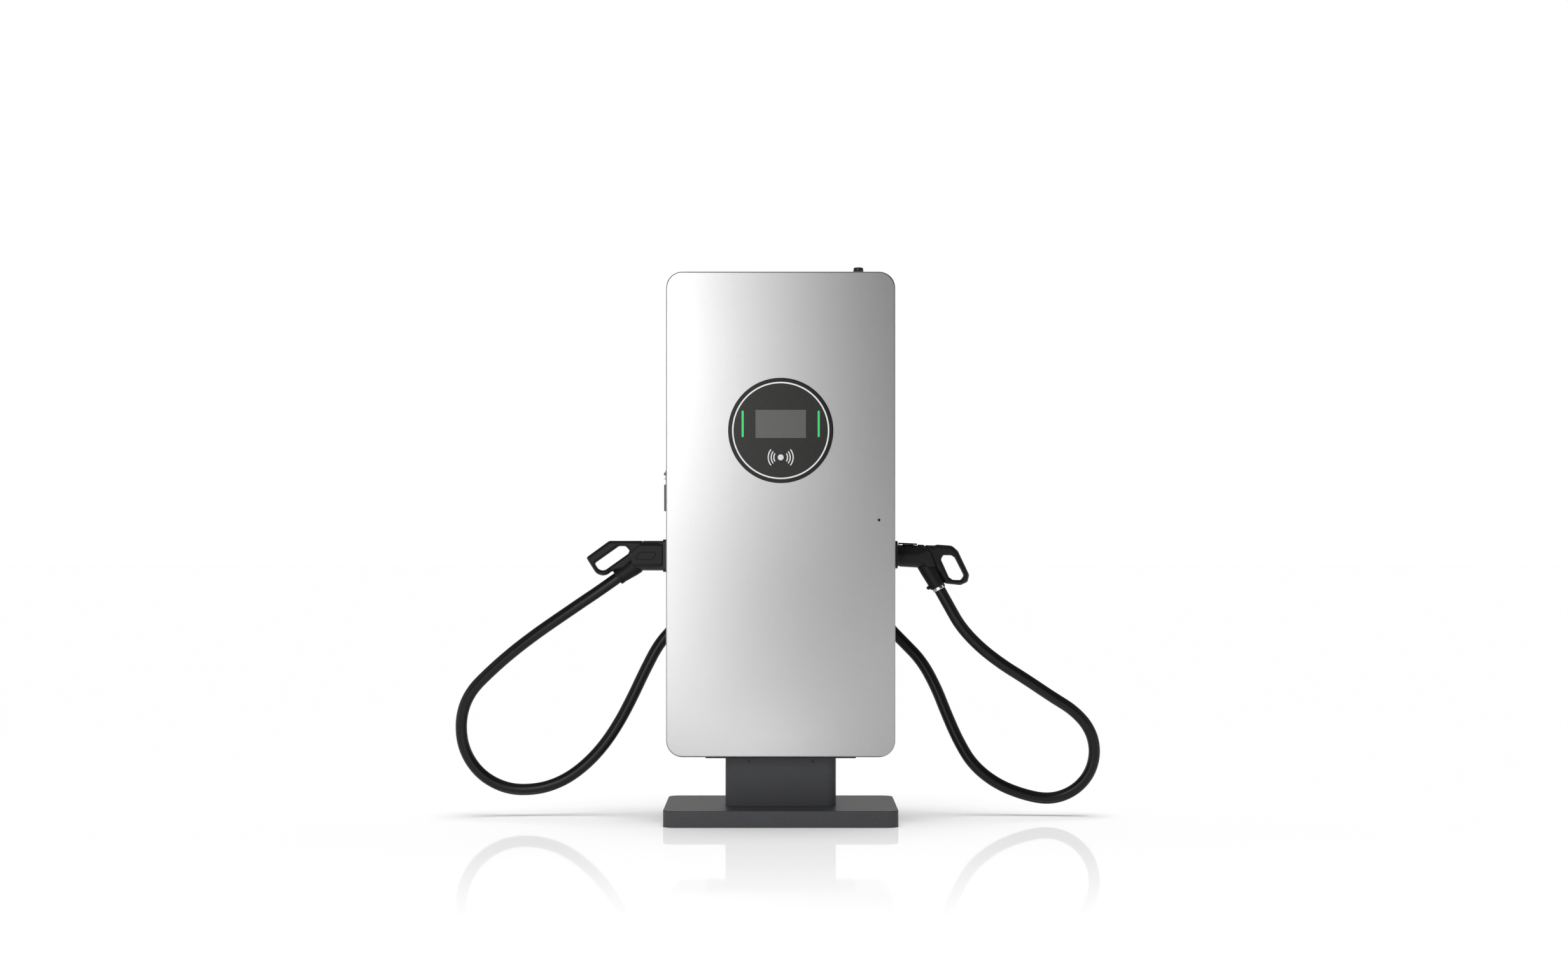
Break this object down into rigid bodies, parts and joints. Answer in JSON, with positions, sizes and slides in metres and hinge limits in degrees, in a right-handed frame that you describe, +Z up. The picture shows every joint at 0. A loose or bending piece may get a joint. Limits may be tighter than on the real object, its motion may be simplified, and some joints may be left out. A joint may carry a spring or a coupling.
{
  "type": "ev charging post",
  "caption": "Floor-standing charging cabinet on a column and base, with a round display and a holstered cable connector on each side.",
  "frame": {"origin": "centre of the anchor pattern, on the floor under the base", "axes": "+Z up, the display faces -Y, +X to the right of a person facing the display"},
  "size_m": [2.0211, 0.45, 1.71],
  "materials": {
    "silver_sheet": "metallic satin, fine grain",
    "dark_sheet": "dark grey powder coat",
    "black_sheet": "black powder coat",
    "zinc_steel": "zinc plated",
    "black_screws": "blackened",
    "seal_rubber": "matte",
    "cable_rubber": "matte sheath",
    "gland_plastic": "moulded",
    "holster_plastic": "moulded",
    "gun_plastic": "fine moulded texture",
    "gun_rubber": "matte",
    "nose_plastic": "glass-filled",
    "contact_metal": "plated",
    "bright_metal": "satin chrome",
    "lock_black": "semi-gloss",
    "bezel_black": "gloss",
    "ring_white": "opal",
    "panel_glass": "smoked, gloss",
    "screen": "dark screen",
    "light_green": "lit light guide",
    "symbol_white": "printed",
    "lens_black": "smoked lens",
    "housing_plastic": "moulded",
    "circuit_board": "solder mask",
    "module_metal": "pressed case",
    "switchgear_grey": "moulded",
    "breaker_black": "moulded"
  },
  "bodies": {
    "post": {"base_cover": "dark_sheet", "base_plate": "zinc_steel", "column": "dark_sheet", "column_flange": "black_sheet", "column_bolts": "zinc_steel", "panel_screws": "black_screws", "cabinet_body": "silver_sheet", "door_gasket": "seal_rubber", "rear_panel": "silver_sheet", "rear_cable_box": "silver_sheet", "cable_glands": "gland_plastic", "gland_boots": "seal_rubber", "antenna": "gland_plastic", "hinge_cabinet_leaves": "zinc_steel", "holster_flange_left": "holster_plastic", "holster_flange_right": "holster_plastic", "holster_cup_left": "holster_plastic", "holster_cup_right": "holster_plastic", "mounting_plate": "zinc_steel", "power_modules": "module_metal", "control_board": "circuit_board", "din_rail": "zinc_steel", "main_breaker": "switchgear_grey", "energy_meter": "switchgear_grey", "terminal_block": "switchgear_grey", "dc_contactors": "breaker_black", "fan_frames": "housing_plastic"},
    "door": {"door_shell": "silver_sheet", "door_stiffeners": "zinc_steel", "hinge_door_leaves": "zinc_steel", "display_bezel": "bezel_black", "display_ring": "ring_white", "display_glass": "panel_glass", "lcd_panel": "screen", "status_lights": "light_green", "card_symbol": "symbol_white", "display_housing": "housing_plastic", "display_boards": "circuit_board", "sensor_lens": "lens_black", "lock_plate": "lock_black"},
    "lock_turn": {"lock_barrel": "bright_metal", "lock_cam": "zinc_steel"},
    "lock_lift": {"lock_lever": "lock_black"},
    "gun_left": {"gun_left_front_shell": "gun_plastic", "gun_left_rear_shell": "gun_plastic", "gun_left_nose": "nose_plastic", "gun_left_contacts": "contact_metal", "gun_left_collar": "gun_rubber", "charging_cable_left": "cable_rubber"},
    "gun_right": {"gun_right_front_shell": "gun_plastic", "gun_right_rear_shell": "gun_plastic", "gun_right_nose": "nose_plastic", "gun_right_contacts": "contact_metal", "gun_right_collar": "gun_rubber", "gun_right_ring": "bright_metal", "charging_cable_right": "cable_rubber"},
    "latch": {"gun_right_latch": "gun_plastic"},
    "fan_lower": {"fan_rotor_lower": "housing_plastic"},
    "fan_upper": {"fan_rotor_upper": "housing_plastic"},
    "breaker_toggle": {"breaker_lever": "breaker_black"}
  },
  "joints": [
    {"name": "door_hinge", "type": "hinge", "parent": "post", "child": "door", "pos_m": [0.3465, -0.065, 0.944], "axis": [0, 0, 1], "range_deg": [0, 90]},
    {"name": "lock_turn", "type": "hinge", "parent": "door", "child": "lock_turn", "pos_m": [-0.35, -0.095, 1.06], "axis": [-1, 0, 0], "range_deg": [0, 90]},
    {"name": "lock_lift", "type": "hinge", "parent": "lock_turn", "child": "lock_lift", "pos_m": [-0.3546, -0.095, 1.04], "axis": [0, 1, 0], "range_deg": [0, 25]},
    {"name": "gun_left_pull", "type": "slide", "parent": "post", "child": "gun_left", "axis": [-1, 0, 0], "range_m": [0, 0.06]},
    {"name": "gun_right_pull", "type": "slide", "parent": "post", "child": "gun_right", "axis": [1, 0, 0], "range_m": [0, 0.06]},
    {"name": "latch_press", "type": "hinge", "parent": "gun_right", "child": "latch", "pos_m": [0.408, 0.03, 0.843], "axis": [0, 1, 0], "range_deg": [0, 5], "stiffness_Nm_per_rad": 0.5},
    {"name": "fan_lower_spin", "type": "hinge", "parent": "post", "child": "fan_lower", "pos_m": [0, 0.108, 1.18], "axis": [0, 1, 0], "continuous": true},
    {"name": "fan_upper_spin", "type": "hinge", "parent": "post", "child": "fan_upper", "pos_m": [0, 0.108, 1.48], "axis": [0, 1, 0], "continuous": true},
    {"name": "breaker_toggle", "type": "hinge", "parent": "post", "child": "breaker_toggle", "pos_m": [-0.2175, 0.014, 0.5775], "axis": [1, 0, 0], "range_deg": [-25, 25]}
  ]
}
